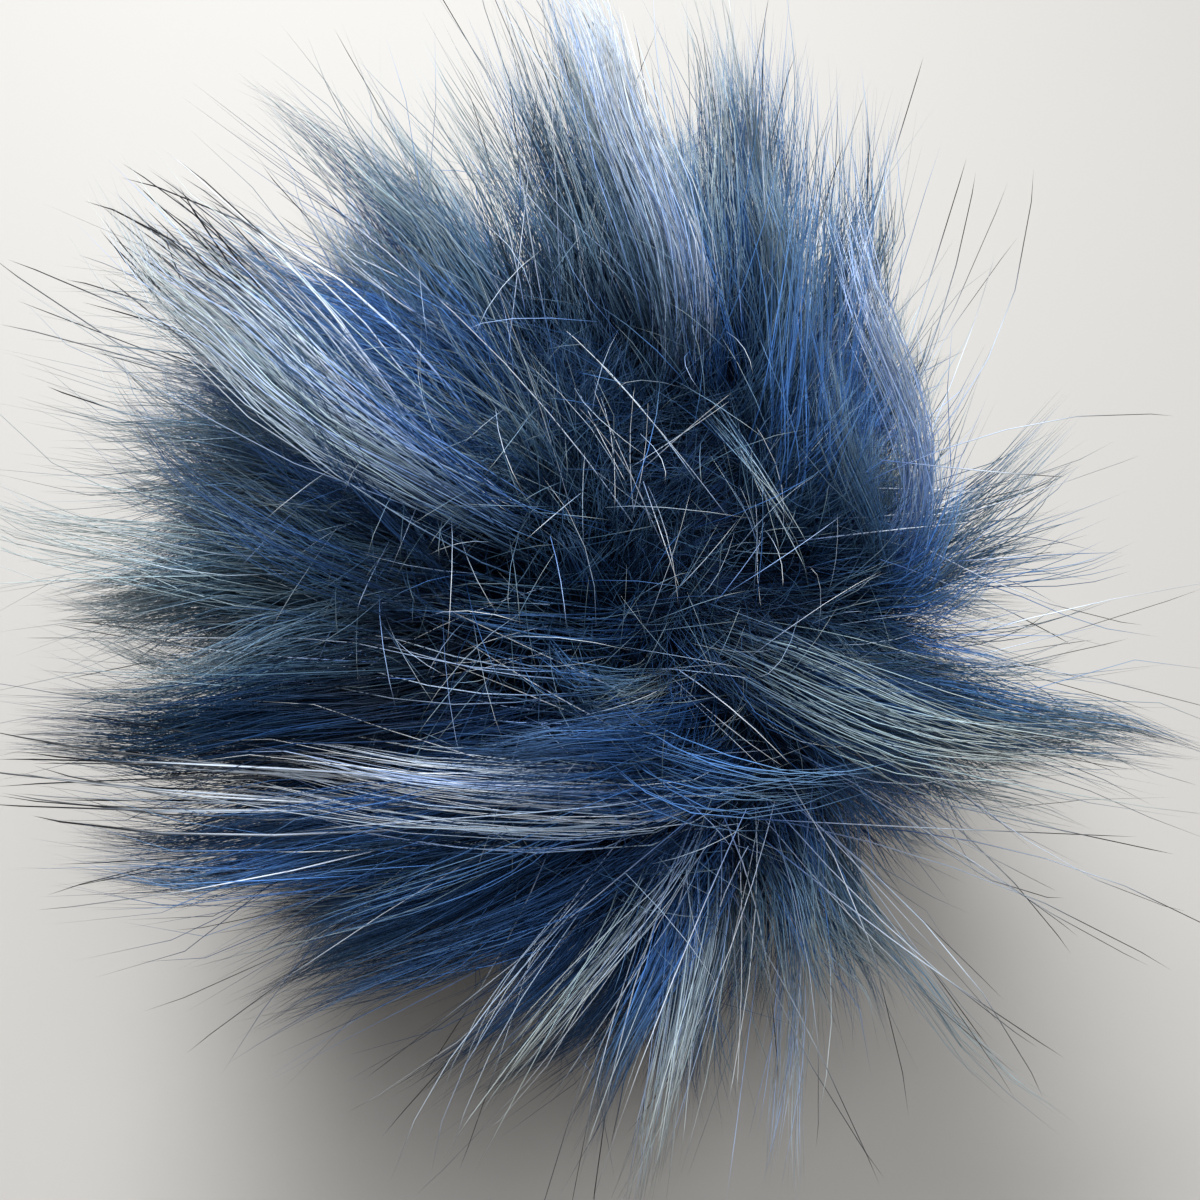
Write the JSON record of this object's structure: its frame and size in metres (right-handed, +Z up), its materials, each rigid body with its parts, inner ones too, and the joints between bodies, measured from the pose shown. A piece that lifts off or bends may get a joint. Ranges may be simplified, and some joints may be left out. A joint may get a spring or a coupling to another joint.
{
  "type": "faux fur pom pom",
  "caption": "Round long-pile faux-fur pom pom in navy, blue, slate and silver, with uneven swept locks and a small flat spot to rest on.",
  "frame": {"origin": "centre of the bounding box, on the surface the ball rests on", "axes": "+Z up, away from the surface; -Y is the front, towards which the crown of the pile leans; +X is to the right seen from the front"},
  "size_m": [0.1706, 0.1686, 0.1204],
  "materials": {
    "dyed_pile": "long glossy modacrylic pile, navy to steel blue with silver locks and black-tipped guard hairs"
  },
  "bodies": {
    "root": {"fur_ball": "dyed_pile"}
  },
  "joints": []
}
